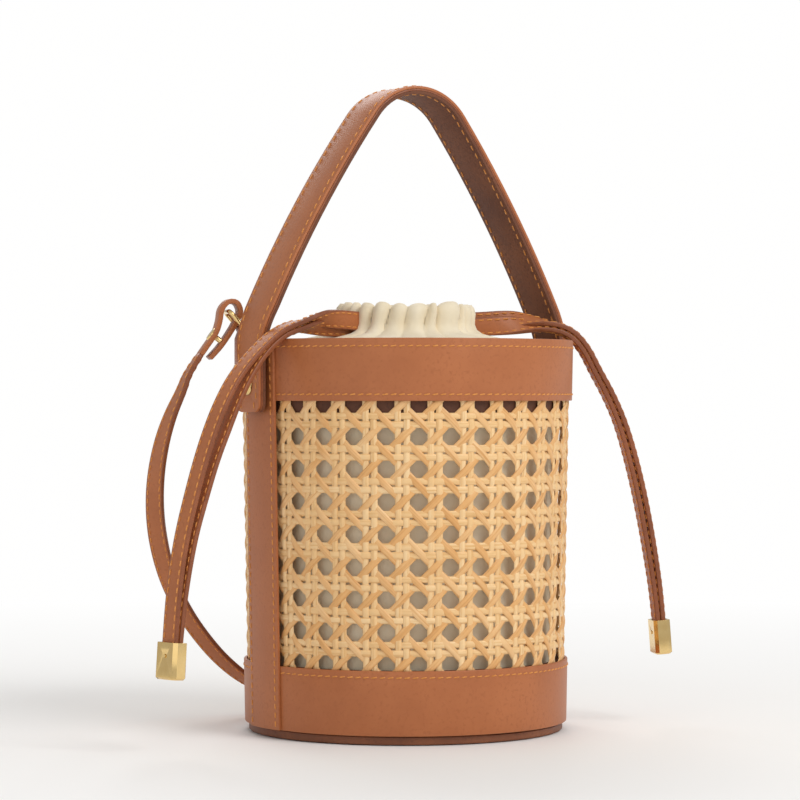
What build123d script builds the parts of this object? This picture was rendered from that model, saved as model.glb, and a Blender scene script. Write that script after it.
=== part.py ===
"""Bucket bag of open cane webbing and leather.

The bag stands on its sole with the origin at the middle of the sole's underside. X runs from one
handle rivet to the other, -Y is the front and +Z is up. All sizes are in millimetres.
"""

from build123d import *
import math
import os

# ---- the body: a cone that widens slightly towards the rim ----
body_height = 185.0
wall_foot_radius = 75.4  # outside of the cane, carried down to the floor
wall_slope = 0.018  # how much the radius grows for each millimetre of height
cane_thickness = 2.0
band_thickness = 1.3
strip_thickness = 1.2
lining_thickness = 1.0
layer_gap = 0.05  # between one layer and the next
cane_seam = 1.0  # between the front and the back panel, under the side strips
cane_lift = 0.3  # of the cane's lower edge above the sole
cane_top_margin = 0.5  # of the cane's upper edge below the rim

# ---- sole, board and bands ----
sole_inset = 0.5  # of the sole's edge inside the foot of the wall
sole_thickness = 3.8
sole_gap = 0.2  # between the sole and what stands on it
sole_edge_round = 0.6
board_thickness = 1.8
board_clearance = 0.3
lower_band_height = 29.7
upper_band_height = 28.7
lining_drop = 5.5  # of the upper lining below its band
side_strip_width = 27.0

# ---- rivets that carry the handle ----
pivot_drop = 21.5  # of the rivets below the rim
rivet_shaft_radius = 2.0
rivet_clearance = 0.05
rivet_head_radius = 4.5
rivet_head_height = 2.2
rivet_head_gap = 0.25
washer_radius = 4.0
washer_thickness = 0.8
peened_end_radius = 2.8
peened_end_height = 0.7

# ---- handle: two leathers stitched round a filler ----
handle_rise = 121.0  # of its top above the rim
handle_width = 26.0
tab_width = 21.5
tab_corner = 4.5
tab_drop = 12.5  # of the tab's end below the rivet
tab_straight = 27.0  # from the tab's end up to where it starts to widen
tab_taper = 22.0
facing_thickness = 1.5
filler_thickness = 0.9
leg_clearance = 0.9  # so that the bend above it also clears the rim
shoulder_radius = 45.0
shoulder_turn = 25.0
side_radius = 578.0
side_turn = 11.0

# ---- cotton pouch ----
pouch_foot_gap = 1.35  # inside the lower lining
pouch_rivet_gap = 0.85  # inside the ends of the rivets
pouch_wall = 1.0
pouch_shoulder_drop = 8.0  # below the rim
pouch_board_gap = 0.4
neck_inset = 42.74  # of the gathered neck inside the rim
neck_width = 10.0  # of the gathered ring, from its outside to its mouth
neck_rise = 15.0  # of the gathered top above the rim
neck_foot_rise = 2.0  # of the casing's lower edge above the rim
collar_thickness = 1.8
collar_seam = 0.4
loop_thickness = 2.3
loop_gap = 0.4

# ---- flat straps ----
strap_thickness = 2.3
drawstring_width = 9.0
shoulder_strap_width = 9.5

# ---- end caps of the drawstrings ----
cap_width = 13.8
cap_depth = 8.2
cap_height = 16.5
cap_chamfer = 1.6
cap_tip_chamfer = 0.8
cap_pocket_clearance = 0.3
cap_pocket_slack = 0.9  # across the two straps
cap_pocket_depth = 9.0
pin_radius = 0.8
pin_drop = 6.0  # below the cap's mouth
pin_stand = 0.3
strap_in_cap = 8.0

# ---- rings and their tabs ----
ring_plane_angle = 18.0  # from the handle's plane towards the back
ring_inner_width = 10.8
ring_wire_radius = 1.1
tab_leather = 2.2
ring_tab_width = 8.4
ring_tab_drop = 19.0  # of the tab's foot below the rim
ring_tab_rise = 0.6  # of the tab's bend above the rim
ring_corner_radius = 2.2
ring_eye_radius = 2.3
ring_eye_clearance = 0.06
tab_rivet_radius = 2.4
tab_rivet_height = 0.9
tab_rivet_rise = 5.0  # above the tab's foot
tab_rivet_round = 0.6
band_to_tab = 0.2

# ---- studs that close the shoulder strap's eyes ----
stud_head_radius = 3.8
stud_head_height = 1.5
stud_head_taper = 25.0
stud_back_radius = 3.0
stud_back_height = 0.9
stud_shaft_radius = 1.3

# ---- the cords' routes, given as (outwards from the rim, upwards from the rim) ----
left_tail_angle = 193.5
right_tail_angle = -22.0
left_outer_route = [
    (-42.4, 8.4), (-31.7, 9.6), (-18.7, 9.4), (-5.7, 7.2), (5.9, 2.9), (18.3, -6.0), (30.3, -17.0),
    (38.8, -29.2), (45.2, -41.4), (51.2, -55.6), (56.8, -71.7), (62.1, -88.5), (65.8, -106.0),
    (68.3, -125.0), (69.7, -144.0),
]
left_inner_route = [
    (-42.4, 5.1), (-31.7, 5.9), (-19.2, 5.8), (-7.2, 4.5), (3.5, 1.4), (14.1, -6.2), (23.3, -16.6),
    (31.0, -28.7), (37.4, -41.4), (44.4, -55.1), (50.8, -71.4), (57.0, -87.9), (61.5, -105.7),
    (65.0, -124.7), (67.2, -143.8),
]
right_outer_route = [
    (-42.4, 9.0), (-32.2, 10.2), (-20.7, 10.3), (-9.2, 8.9), (2.1, 5.9), (10.0, -2.6),
    (15.5, -13.6), (21.9, -24.6), (28.1, -38.2), (32.9, -53.5), (37.1, -70.0), (40.7, -87.5),
    (43.8, -105.8), (46.4, -124.6), (47.8, -143.0),
]
right_inner_route = [
    (-42.4, 6.3), (-32.2, 7.4), (-20.7, 7.5), (-9.7, 6.2), (0.9, 3.2), (7.8, -4.1), (13.1, -14.8),
    (19.3, -25.8), (25.3, -39.1), (29.9, -54.6), (34.0, -71.0), (37.5, -88.1), (40.7, -106.0),
    (43.6, -124.2), (45.3, -142.8),
]
left_eye_route = [
    (16.7, -8.7), (11.9, -3.6), (7.9, 2.1), (4.5, 7.6), (1.7, 13.4), (3.7, 18.0), (7.9, 18.4),
    (11.3, 14.6), (11.9, 9.0), (13.5, 3.6), (17.5, -2.2), (20.9, -7.0),
]
right_eye_route = [
    (6.7, -33.5), (6.8, -26.0), (7.2, -18.6), (7.1, -12.4), (8.7, -8.5), (11.5, -8.4),
    (13.0, -12.0), (12.1, -17.8), (9.9, -24.1), (10.0, -32.0),
]
left_ring_bar = (0.9, 5.5)  # the ring's bar in its tab
left_ring_far_bar = (7.8, 13.3)  # the bar that carries the strap
right_ring_bar = (4.4, -2.6)
right_ring_far_bar = (10.1, -11.6)
left_stud_place = (12.7, 0.6)
right_stud_place = (8.4, -23.6)
left_stud_turn = 37.0  # of the stud's head above the level
right_stud_turn = 3.0
# the shoulder strap: (angle from +X, outwards from the rim, share of the way up to its eye)
strap_left_fall = [
    (161.98, 20.8, 1.0000), (161.98, 26.6, 0.9527), (160.56, 29.1, 0.9042), (157.90, 34.5, 0.8303),
    (154.88, 38.6, 0.7448), (151.38, 41.1, 0.6455), (147.57, 41.5, 0.5468), (143.21, 40.1, 0.4498),
    (138.10, 37.7, 0.3603), (132.56, 34.1, 0.2771), (126.75, 29.2, 0.1998), (119.92, 23.7, 0.1241),
    (110.42, 15.3, 0.0473), (99.65, 15.5, 0.0081),
]
strap_rest_height = 4.8  # of its middle where it lies behind the bag
# the part that lies down: (angle from +X, outwards from the rim)
strap_bight = [
    (89.28, 24.9), (81.87, 42.2), (77.38, 65.0), (74.85, 90.0), (73.26, 115.7), (70.43, 138.9),
    (65.14, 154.8), (58.75, 161.3), (52.40, 156.6), (47.20, 140.6), (44.03, 117.5), (42.20, 92.2),
    (39.49, 67.2), (34.62, 44.8),
]
strap_right_rise = [
    (27.62, 28.5, 0.0115), (19.74, 18.7, 0.0621), (13.75, 14.2, 0.1633), (11.31, 12.5, 0.2982),
    (11.23, 11.1, 0.4534), (13.01, 9.6, 0.6154), (15.59, 8.7, 0.7706), (18.01, 10.2, 0.9001),
    (17.99, 10.0, 1.0000),
]

# ---- values worked out from the ones above ----
pivot_height = body_height - pivot_drop
sole_radius = wall_foot_radius - sole_inset
sole_top = sole_thickness + sole_gap
lower_band_top = sole_top + lower_band_height
upper_band_bottom = body_height - upper_band_height
cane_bottom = sole_top + cane_lift
cane_top = body_height - cane_top_margin
band_inner = layer_gap
band_outer = band_inner + band_thickness
strip_inner = band_outer + layer_gap
strip_outer = strip_inner + strip_thickness
lining_outer = -cane_thickness - layer_gap
lining_inner = lining_outer - lining_thickness
rim_radius = wall_foot_radius + wall_slope * body_height  # of the cane's outside
neck_outer_radius = rim_radius - neck_inset
neck_inner_radius = neck_outer_radius - neck_width
pouch_shoulder_height = body_height - pouch_shoulder_drop
# a round tube with the area of the flat strap's section
shoulder_strap_diameter = 2 * math.sqrt(shoulder_strap_width * strap_thickness / math.pi)
ring_tab_foot = body_height - ring_tab_drop
ring_tab_bend = body_height + ring_tab_rise
neck_top = body_height + neck_rise
neck_foot = body_height + neck_foot_rise
past_everything = 400.0  # reaches through the whole bag
corner_share = 0.45  # of the shorter run, taken by each side of a corner's round


def wall_radius(height):
    """Return the radius of the cane's outside at a height."""
    return wall_foot_radius + wall_slope * height


def cone_section(inner, outer, bottom, top):
    """Return the four corners of a layer's section, given its distances from the cane's outside."""
    return [
        (wall_radius(bottom) + inner, bottom),
        (wall_radius(bottom) + outer, bottom),
        (wall_radius(top) + outer, top),
        (wall_radius(top) + inner, top),
    ]


def write(part, name):
    """Label a finished piece and write its STEP file."""
    part.label = name
    export_step(part, f"parts/{name}.step")


def radial_plane(angle):
    """Return the upright plane that holds the axis and points outwards at an angle from +X."""
    turn = math.radians(angle)
    outwards = (math.cos(turn), math.sin(turn), 0)
    return Plane(origin=(0, 0, 0), x_dir=outwards, z_dir=(math.sin(turn), -math.cos(turn), 0))


def corner_radii(route):
    """Return the largest round that each corner of a route has room for."""
    points = [Vector(*point) for point in route]
    radii = []
    for before, corner, after in zip(points, points[1:], points[2:]):
        come, go = corner - before, after - corner
        half_turn = math.radians(come.get_angle(go)) / 2
        radii.append(corner_share * min(come.length, go.length) / math.tan(half_turn))
    return radii


def from_rim(place):
    """Return a place as (distance from the axis, height)."""
    return (rim_radius + place[0], body_height + place[1])


def round_axis(angle, outwards, height):
    """Return the point at an angle from +X, a distance outwards from the rim, and a height."""
    distance = rim_radius + outwards
    turn = math.radians(angle)
    return (distance * math.cos(turn), distance * math.sin(turn), height)


def report(name, part, path, section, radii):
    """Print how a cord's solid compares with its length and section."""
    length = sum(edge.length for edge in path.edges())
    share = part.volume / (length * section)
    print(f"{name}: {length:.1f} long, volume / (length x section) {share:.3f}")
    print(f"  radii {', '.join(f'{radius:.0f}' for radius in radii)}")


os.makedirs("parts", exist_ok=True)

# ---- sole and board ----
with BuildPart() as base_sole:
    Cylinder(sole_radius, sole_thickness, align=(Align.CENTER, Align.CENTER, Align.MIN))
    fillet(base_sole.edges().filter_by(GeomType.CIRCLE), sole_edge_round)
write(base_sole.part, "base_sole")

board_radius = wall_radius(sole_top) + lining_inner - board_clearance
with BuildPart() as base_board:
    with BuildSketch(Plane.XY.offset(sole_top)):
        Circle(board_radius)
    extrude(amount=board_thickness)
write(base_board.part, "base_board")

# ---- bands and linings, each a ring of the cone ----
leather_rings = {
    "lower_band": (band_inner, band_outer, sole_top, lower_band_top),
    "lower_lining": (lining_inner, lining_outer, sole_top, lower_band_top),
    "upper_band": (band_inner, band_outer, upper_band_bottom, body_height),
    "upper_lining": (lining_inner, lining_outer, upper_band_bottom - lining_drop, body_height),
}
for name, (inner, outer, bottom, top) in leather_rings.items():
    with BuildPart() as band:
        with BuildSketch(Plane.XZ):
            with BuildLine():
                Polyline(*cone_section(inner, outer, bottom, top), close=True)
            make_face()
        revolve(axis=Axis.Z)
        if top > pivot_height:
            with BuildSketch(Plane.YZ):
                with Locations((0, pivot_height)):
                    Circle(rivet_shaft_radius + rivet_clearance)
            extrude(amount=past_everything, both=True, mode=Mode.SUBTRACT)
    write(band.part, name)

# ---- cane panels, front and back ----
panel_planes = {"cane_front": Plane.XZ, "cane_back": Plane.ZX}
for name, plane in panel_planes.items():
    with BuildPart() as panel:
        with BuildSketch(Plane.XZ):
            with BuildLine():
                Polyline(*cone_section(-cane_thickness, 0, cane_bottom, cane_top), close=True)
            make_face()
        revolve(axis=Axis.Z)
        split(bisect_by=plane.offset(cane_seam / 2), keep=Keep.TOP)
        with BuildSketch(Plane.YZ):
            with Locations((0, pivot_height)):
                Circle(rivet_shaft_radius + rivet_clearance)
        extrude(amount=past_everything, both=True, mode=Mode.SUBTRACT)
    write(panel.part, name)

# ---- side strips over the seams of the cane ----
for name, side in {"side_strip_left": -1, "side_strip_right": 1}.items():
    with BuildPart() as strip:
        with BuildSketch(Plane.XZ):
            with BuildLine():
                Polyline(*cone_section(strip_inner, strip_outer, sole_top, body_height), close=True)
            make_face()
        revolve(axis=Axis.Z)
        with BuildSketch(Plane.YZ):
            with Locations((0, body_height / 2)):
                Rectangle(side_strip_width, body_height)
            with Locations((0, pivot_height)):
                Circle(rivet_shaft_radius + rivet_clearance, mode=Mode.SUBTRACT)
        extrude(amount=side * past_everything, mode=Mode.INTERSECT)
    write(strip.part, name)

# ---- handle ----
leg_inner_x = wall_radius(body_height) + strip_outer + leg_clearance
handle_thickness = 2 * facing_thickness + filler_thickness
leg_mid_x = leg_inner_x + handle_thickness / 2
turns = [math.radians(shoulder_turn), math.radians(shoulder_turn + side_turn)]
crown_half = 90 - shoulder_turn - side_turn
crown_radius = (
    leg_mid_x
    - shoulder_radius * (1 - math.cos(turns[0]))
    - side_radius * (math.cos(turns[0]) - math.cos(turns[1]))
) / math.cos(turns[1])
tab_foot = pivot_height - tab_drop
leg_straight_top = (
    body_height
    + handle_rise
    - handle_thickness / 2
    - shoulder_radius * math.sin(turns[0])
    - side_radius * (math.sin(turns[1]) - math.sin(turns[0]))
    - crown_radius * (1 - math.sin(turns[1]))
)


def handle_line(shift):
    """Draw the handle's arch from the left tab to the right, moved outwards by shift."""
    foot = leg_mid_x + shift
    bends = [
        (shoulder_radius, shoulder_turn),
        (side_radius, side_turn),
        (crown_radius, 2 * crown_half),
        (side_radius, side_turn),
        (shoulder_radius, shoulder_turn),
    ]
    rise = Line((-foot, tab_foot), (-foot, leg_straight_top))
    last = rise
    for radius, turn in bends:
        last = JernArc(last @ 1, last % 1, radius + shift, -turn)
    Line(last @ 1, (foot, tab_foot))
    return foot


handle_layers = {
    "handle_lining": (-handle_thickness / 2, -filler_thickness / 2 - layer_gap / 2),
    "handle_filler": (-filler_thickness / 2 + layer_gap / 2, filler_thickness / 2 - layer_gap / 2),
    "handle_outer": (filler_thickness / 2 + layer_gap / 2, handle_thickness / 2),
}
for name, (inner, outer) in handle_layers.items():
    with BuildPart() as layer:
        with BuildSketch(Plane.XZ):
            with BuildLine():
                inner_foot = handle_line(inner)
                outer_foot = handle_line(outer)
                Line((-inner_foot, tab_foot), (-outer_foot, tab_foot))
                Line((inner_foot, tab_foot), (outer_foot, tab_foot))
            make_face()
        extrude(amount=handle_width / 2, both=True)
        with BuildSketch(Plane.YZ):
            with BuildLine():
                Polyline(
                    (-tab_width / 2, tab_foot),
                    (-tab_width / 2, tab_foot + tab_straight),
                    (-handle_width / 2, tab_foot + tab_straight + tab_taper),
                    (-handle_width / 2, past_everything),
                    (handle_width / 2, past_everything),
                    (handle_width / 2, tab_foot + tab_straight + tab_taper),
                    (tab_width / 2, tab_foot + tab_straight),
                    (tab_width / 2, tab_foot),
                    close=True,
                )
            face = make_face()
            fillet(face.vertices().group_by(Axis.Y)[0], tab_corner)
            with Locations((0, pivot_height)):
                Circle(rivet_shaft_radius + rivet_clearance, mode=Mode.SUBTRACT)
        extrude(amount=past_everything, both=True, mode=Mode.INTERSECT)
    write(layer.part, name)

# ---- rivets: a domed head outside, a washer and a peened end inside ----
head_x = leg_inner_x + handle_thickness + rivet_head_gap
washer_x = math.sqrt((wall_radius(pivot_height) + lining_inner) ** 2 - washer_radius**2) - layer_gap
peened_x = washer_x - washer_thickness - layer_gap
dome_radius = (rivet_head_radius**2 + rivet_head_height**2) / (2 * rivet_head_height)
dome_half = math.asin(rivet_head_radius / dome_radius) / 2
for name, side in {"left": -1, "right": 1}.items():
    axis_plane = Plane(origin=(0, 0, pivot_height), x_dir=(side, 0, 0), z_dir=(0, -side, 0))
    rivet_axis = Axis((0, 0, pivot_height), (1, 0, 0))
    with BuildPart() as rivet:
        with BuildSketch(axis_plane):
            with BuildLine():
                profile = Polyline(
                    (head_x + rivet_head_height, 0),
                    (peened_x - peened_end_height, 0),
                    (peened_x - peened_end_height, peened_end_radius),
                    (peened_x, peened_end_radius),
                    (peened_x, rivet_shaft_radius),
                    (head_x, rivet_shaft_radius),
                    (head_x, rivet_head_radius),
                )
                ThreePointArc(
                    profile @ 1,
                    (head_x + rivet_head_height - dome_radius * (1 - math.cos(dome_half)),
                     dome_radius * math.sin(dome_half)),
                    profile @ 0,
                )
            make_face()
        revolve(axis=rivet_axis)
    write(rivet.part, f"handle_rivet_{name}")

    with BuildPart() as washer:
        with BuildSketch(Plane(origin=(side * washer_x, 0, pivot_height), z_dir=(-side, 0, 0))):
            Circle(washer_radius)
            Circle(rivet_shaft_radius + rivet_clearance, mode=Mode.SUBTRACT)
        extrude(amount=washer_thickness)
    write(washer.part, f"rivet_washer_{name}")

# ---- cotton pouch: a lining bag and the gathered collar sewn to its top ----
pouch_bottom = sole_top + board_thickness + pouch_board_gap
pouch_foot_radius = wall_radius(sole_top) + lining_inner - pouch_foot_gap
pouch_shoulder_radius = peened_x - peened_end_height - pouch_rivet_gap
with BuildPart() as pouch_body:
    with BuildSketch(Plane.XZ):
        with BuildLine():
            Polyline(
                (0, pouch_bottom),
                (pouch_foot_radius, pouch_bottom),
                (pouch_shoulder_radius, pouch_shoulder_height),
                (pouch_shoulder_radius - pouch_wall, pouch_shoulder_height),
                (pouch_foot_radius - pouch_wall, pouch_bottom + pouch_wall),
                (0, pouch_bottom + pouch_wall),
                close=True,
            )
        make_face()
    revolve(axis=Axis.Z)
write(pouch_body.part, "pouch_body")

collar_foot = pouch_shoulder_height + collar_seam
with BuildPart() as pouch_collar:
    with BuildSketch(Plane.XZ):
        with BuildLine():
            Polyline(
                (pouch_shoulder_radius, collar_foot),
                (neck_outer_radius, neck_foot),
                (neck_outer_radius, neck_top),
                (neck_inner_radius, neck_top),
                (neck_inner_radius, neck_foot),
                (neck_inner_radius + collar_thickness, neck_foot),
                (neck_inner_radius + collar_thickness, neck_top - collar_thickness),
                (neck_outer_radius - collar_thickness, neck_top - collar_thickness),
                (neck_outer_radius - collar_thickness, neck_foot - collar_thickness),
                (pouch_shoulder_radius - collar_thickness, collar_foot),
                close=True,
            )
        make_face()
    revolve(axis=Axis.Z)
write(pouch_collar.part, "pouch_collar")

# ---- the two drawstrings, round the neck inside the casing ----
left_loop_outer = neck_outer_radius - collar_thickness - loop_gap
right_loop_outer = left_loop_outer - loop_thickness - loop_gap
loop_bottom = neck_top - collar_thickness - loop_gap - drawstring_width
for name, outer in {"left": left_loop_outer, "right": right_loop_outer}.items():
    with BuildPart() as loop:
        with BuildSketch(Plane.XY.offset(loop_bottom)):
            Circle(outer)
            Circle(outer - loop_thickness, mode=Mode.SUBTRACT)
        extrude(amount=drawstring_width)
    write(loop.part, f"drawstring_{name}_loop")


def flat_strap(name, plane, route, width):
    """Write a flat strap that follows a route in an upright plane, its width across that plane."""
    route = [from_rim(place) for place in route]
    radii = corner_radii(route)
    with BuildPart() as strap:
        with BuildLine(plane) as path:
            FilletPolyline(*route, radius=radii)
        start = Plane(origin=path.line @ 0, x_dir=plane.z_dir, z_dir=path.line % 0)
        with BuildSketch(start):
            Rectangle(width, strap_thickness)
        sweep(path=path.line)
    report(name, strap.part, path.line, width * strap_thickness, radii)
    write(strap.part, name)


tails = {
    "drawstring_left_outer": (left_tail_angle, left_outer_route),
    "drawstring_left_inner": (left_tail_angle, left_inner_route),
    "drawstring_right_outer": (right_tail_angle, right_outer_route),
    "drawstring_right_inner": (right_tail_angle, right_inner_route),
}
for name, (angle, route) in tails.items():
    flat_strap(name, radial_plane(angle), route, drawstring_width)

# ---- end caps, which hold the two tails of a side, and their pins ----
pocket_width = drawstring_width + cap_pocket_clearance
caps = {
    "left": (left_tail_angle, left_outer_route, left_inner_route),
    "right": (right_tail_angle, right_outer_route, right_inner_route),
}
for name, (angle, outer_route, inner_route) in caps.items():
    plane = radial_plane(angle)
    ends = [Vector(*from_rim(outer_route[-1])), Vector(*from_rim(inner_route[-1]))]
    before = Vector(*from_rim(outer_route[-2]))
    along = (ends[0] - before).normalized()
    mouth = (ends[0] + ends[1]) * 0.5 - along * strap_in_cap
    pocket_depth_across = (ends[0] - ends[1]).length + strap_thickness + cap_pocket_slack
    origin = plane.from_local_coords((mouth.X, mouth.Y, 0))
    tip = plane.from_local_coords((mouth.X + along.X, mouth.Y + along.Y, 0))
    cap_plane = Plane(origin=origin, x_dir=plane.z_dir, z_dir=tip - origin)
    with BuildPart() as cap:
        with BuildSketch(cap_plane):
            Rectangle(cap_width, cap_depth)
        extrude(amount=cap_height)
        chamfer(cap.edges().filter_by(Axis(origin, cap_plane.z_dir)), cap_chamfer)
        chamfer(cap.faces().sort_by(Axis(origin, cap_plane.z_dir))[-1].edges(), cap_tip_chamfer)
        with BuildSketch(cap_plane):
            Rectangle(pocket_width, pocket_depth_across)
        extrude(amount=cap_pocket_depth, mode=Mode.SUBTRACT)
        pin_plane = Plane(
            origin=origin + cap_plane.z_dir * pin_drop, x_dir=cap_plane.x_dir, z_dir=cap_plane.y_dir
        )
        with BuildSketch(pin_plane):
            Circle(pin_radius + layer_gap)
        extrude(amount=cap_depth, both=True, mode=Mode.SUBTRACT)
    write(cap.part, f"end_cap_{name}")

    pin_start = pocket_depth_across / 2 + layer_gap
    with BuildPart() as pins:
        for side in (-1, 1):
            with BuildSketch(pin_plane.offset(side * pin_start)):
                Circle(pin_radius)
            extrude(amount=side * (cap_depth / 2 + pin_stand - pin_start))
    write(pins.part, f"end_cap_pins_{name}")

# ---- ring tabs on the band behind each handle leg, their rivets, and the rings ----
tab_middle = wall_radius(body_height) + band_outer + band_to_tab + tab_leather / 2
sides = {
    "left": (180 - ring_plane_angle, left_ring_bar, left_ring_far_bar),
    "right": (ring_plane_angle, right_ring_bar, right_ring_far_bar),
}
for name, (angle, bar_place, far_bar_place) in sides.items():
    plane = radial_plane(angle)
    bar = from_rim(bar_place)
    far_bar = from_rim(far_bar_place)
    bend_height = min(ring_tab_bend, bar[1] - ring_eye_radius)
    with BuildPart() as tab:
        with BuildSketch(plane):
            with BuildLine():
                Polyline(
                    (tab_middle - tab_leather / 2, ring_tab_foot),
                    (tab_middle + tab_leather / 2, ring_tab_foot),
                    (tab_middle + tab_leather / 2, bend_height),
                    (bar[0] + tab_leather / 2, bar[1]),
                    (bar[0] - tab_leather / 2, bar[1]),
                    (tab_middle - tab_leather / 2, bend_height),
                    close=True,
                )
            make_face()
            with Locations(bar):
                Circle(ring_eye_radius)
                Circle(ring_wire_radius + ring_eye_clearance, mode=Mode.SUBTRACT)
        extrude(amount=ring_tab_width / 2, both=True)
    write(tab.part, f"ring_tab_{name}")

    rivet_start = plane.from_local_coords((tab_middle + tab_leather / 2, ring_tab_foot + tab_rivet_rise, 0))
    with BuildPart() as tab_rivet:
        with BuildSketch(Plane(origin=rivet_start, z_dir=plane.x_dir)):
            Circle(tab_rivet_radius)
        extrude(amount=tab_rivet_height)
        fillet(tab_rivet.faces().sort_by(Axis(rivet_start, plane.x_dir))[-1].edges(), tab_rivet_round)
    write(tab_rivet.part, f"ring_tab_rivet_{name}")

    reach = Vector(far_bar[0] - bar[0], far_bar[1] - bar[1])
    first = plane.from_local_coords((bar[0], bar[1], 0))
    second = plane.from_local_coords((far_bar[0], far_bar[1], 0))
    half_width = (ring_inner_width + 2 * ring_wire_radius) / 2
    ring_plane = Plane(origin=first, x_dir=plane.z_dir, z_dir=plane.z_dir.cross(second - first))
    up = 1 if ring_plane.to_local_coords(second).Y > 0 else -1
    with BuildPart() as ring:
        with BuildLine(ring_plane) as ring_path:
            FilletPolyline(
                (half_width, 0),
                (half_width, up * reach.length),
                (-half_width, up * reach.length),
                (-half_width, 0),
                close=True,
                radius=ring_corner_radius,
            )
        with BuildSketch(Plane(origin=ring_path.line @ 0, z_dir=ring_path.line % 0)):
            Circle(ring_wire_radius)
        sweep(path=ring_path.line)
    write(ring.part, f"ring_{name}")

# ---- shoulder strap: an eye at each end, and the strap between them ----
eyes = {
    "strap_eye_left": (180 - ring_plane_angle, left_eye_route),
    "strap_eye_right": (ring_plane_angle, right_eye_route),
}
for name, (angle, route) in eyes.items():
    flat_strap(name, radial_plane(angle), route, shoulder_strap_width)

strap_left_top = body_height + left_eye_route[-1][1]
strap_right_top = body_height + right_eye_route[-1][1]
shoulder_strap_route = [
    round_axis(angle, outwards, strap_rest_height + share * (strap_left_top - strap_rest_height))
    for angle, outwards, share in strap_left_fall
]
shoulder_strap_route += [
    round_axis(angle, outwards, strap_rest_height) for angle, outwards in strap_bight
]
shoulder_strap_route += [
    round_axis(angle, outwards, strap_rest_height + share * (strap_right_top - strap_rest_height))
    for angle, outwards, share in strap_right_rise
]
strap_radii = corner_radii(shoulder_strap_route)
with BuildPart() as shoulder_strap:
    with BuildLine() as strap_path:
        FilletPolyline(*shoulder_strap_route, radius=strap_radii)
    with BuildSketch(Plane(origin=strap_path.line @ 0, z_dir=strap_path.line % 0)):
        Circle(shoulder_strap_diameter / 2)
    sweep(path=strap_path.line)
strap_section = math.pi * shoulder_strap_diameter**2 / 4
report("shoulder_strap", shoulder_strap.part, strap_path.line, strap_section, strap_radii)
write(shoulder_strap.part, "shoulder_strap")

# ---- studs that clamp each eye ----
studs = {
    "left": (180 - ring_plane_angle, left_stud_place, left_stud_turn),
    "right": (ring_plane_angle, right_stud_place, right_stud_turn),
}
for name, (angle, place, turn) in studs.items():
    plane = radial_plane(angle)
    lean = math.radians(turn)
    distance, height = from_rim(place)
    centre = plane.from_local_coords((distance, height, 0))
    ahead = plane.from_local_coords((distance + math.cos(lean), height + math.sin(lean), 0))
    stud_plane = Plane(origin=centre, z_dir=ahead - centre)
    half_grip = strap_thickness + loop_gap
    with BuildPart() as stud:
        with BuildSketch(stud_plane.offset(-half_grip)):
            Circle(stud_shaft_radius)
        extrude(amount=2 * half_grip)
        with BuildSketch(stud_plane.offset(half_grip)):
            Circle(stud_head_radius)
        extrude(amount=stud_head_height, taper=stud_head_taper)
        with BuildSketch(stud_plane.offset(-half_grip)):
            Circle(stud_back_radius)
        extrude(amount=-stud_back_height)
    write(stud.part, f"strap_stud_{name}")
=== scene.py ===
# %% [markdown]
# # A bucket bag of cane webbing and leather
#
# The bag is a round wall of open cane webbing between two leather bands. A handle is riveted to
# its sides, a cotton pouch is gathered at its mouth, and thin straps hang from it. This lesson
# builds the visible pieces around the frame: the CAD model that gives every size and place.

import math
import random

import bpy
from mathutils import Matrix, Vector


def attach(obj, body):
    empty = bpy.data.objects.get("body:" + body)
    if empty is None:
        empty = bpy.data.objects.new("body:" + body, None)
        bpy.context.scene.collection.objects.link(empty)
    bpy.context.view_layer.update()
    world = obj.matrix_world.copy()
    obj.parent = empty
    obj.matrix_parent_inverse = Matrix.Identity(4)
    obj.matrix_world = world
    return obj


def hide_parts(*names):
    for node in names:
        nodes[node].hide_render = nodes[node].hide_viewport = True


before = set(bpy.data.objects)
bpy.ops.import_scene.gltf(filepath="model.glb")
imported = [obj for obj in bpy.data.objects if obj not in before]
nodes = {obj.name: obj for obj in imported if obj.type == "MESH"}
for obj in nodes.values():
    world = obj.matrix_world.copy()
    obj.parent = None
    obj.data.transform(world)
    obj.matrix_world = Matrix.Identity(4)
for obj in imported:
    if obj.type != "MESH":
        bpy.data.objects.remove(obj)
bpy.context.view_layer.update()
MM = 0.001

# %% [markdown]
# ## The camera
#
# The bag is seen from a little to the left of its front, with the eye level with the rim. A long
# lens is used, because a short one would swell the near side of a round bag. The camera looks
# level, so upright edges stay upright, and a small shift frames the bag without tilting it.

# %% Place the camera
CAMERA_AZIMUTH = math.radians(-31.5)
CAMERA_DISTANCE = 1.432
CAMERA_HEIGHT = 0.159
camera_data = bpy.data.cameras.new("camera")
camera_data.lens = 134.55
camera_data.sensor_width = 36.0
camera_data.shift_x = -0.0071
camera_data.shift_y = -0.00625
camera_data.clip_end = 20.0
camera = bpy.data.objects.new("camera", camera_data)
bpy.context.scene.collection.objects.link(camera)
camera.location = (
    CAMERA_DISTANCE * math.sin(CAMERA_AZIMUTH),
    -CAMERA_DISTANCE * math.cos(CAMERA_AZIMUTH),
    CAMERA_HEIGHT,
)
camera.rotation_euler = (math.radians(90), 0, CAMERA_AZIMUTH)
bpy.context.scene.camera = camera
print("camera at", tuple(round(v, 3) for v in camera.location))
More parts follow.
